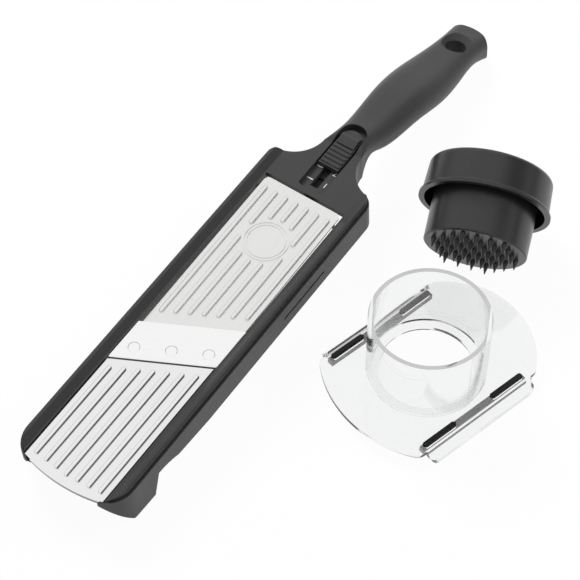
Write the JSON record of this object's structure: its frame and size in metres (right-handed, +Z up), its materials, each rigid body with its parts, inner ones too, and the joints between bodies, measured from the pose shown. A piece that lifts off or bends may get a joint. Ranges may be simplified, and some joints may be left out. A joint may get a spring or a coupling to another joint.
{
  "type": "mandoline slicer",
  "caption": "Hand-held mandoline slicer with a slanted blade, a ramp set by a thumb slider, a clear feed carriage and a spiked pusher.",
  "frame": {"origin": "bottom centre of the box round the set as it lies on the table", "axes": "+Y along the slicer from its feet to its grip, +X to the side where the carriage and pusher lie, +Z up"},
  "size_m": [0.2044, 0.4138, 0.0776],
  "materials": {
    "charcoal_plastic": "fine satin moulding",
    "inner_plastic": "plain moulding",
    "plate_steel": "bright brushed sheet",
    "blade_steel": "ground strip",
    "screw_steel": "plain",
    "black_plastic": "gloss moulding",
    "clear_plastic": "clear moulding",
    "pad_rubber": "plain"
  },
  "bodies": {
    "slicer": {"upper_frame": "charcoal_plastic", "lower_frame": "charcoal_plastic", "foot_pads": "pad_rubber", "housing_screws": "screw_steel", "exit_plate": "plate_steel", "blade": "blade_steel", "blade_rivets": "blade_steel", "blade_carrier": "inner_plastic", "carrier_screws": "screw_steel", "ramp_hinge_pin": "screw_steel", "detent_spring": "screw_steel"},
    "ramp": {"ramp_plate": "plate_steel", "ramp_tray": "inner_plastic"},
    "adjuster": {"thumb_slider": "charcoal_plastic", "slider_sled": "inner_plastic", "slider_screw": "screw_steel"},
    "carriage": {"carriage_plate": "clear_plastic", "left_runner": "black_plastic", "right_runner": "black_plastic"},
    "pusher": {"pusher_cap": "charcoal_plastic", "pusher_plunger": "charcoal_plastic", "pusher_spikes": "black_plastic"}
  },
  "joints": [
    {"name": "thickness_slide", "type": "slide", "parent": "slicer", "child": "adjuster", "axis": [0, 0.9981, 0.061], "range_m": [-0.012, 0.0025]},
    {"name": "ramp_tilt", "type": "hinge", "parent": "slicer", "child": "ramp", "pos_m": [-0.06599, 0.01378, 0.03503], "axis": [1, 0, 0], "range_deg": [-0.68, 0.15]},
    {"name": "carriage_stroke", "type": "slide", "parent": "slicer", "child": "carriage", "axis": [0, 1, 0], "range_m": [-0.15, 0]},
    {"name": "pusher_lift", "type": "slide", "parent": "slicer", "child": "pusher", "axis": [0, 0, 1], "range_m": [0, 0.046]}
  ],
  "couplings": [
    {"joint": "ramp_tilt", "follows": "thickness_slide", "rad_per_m": 0.96701}
  ]
}
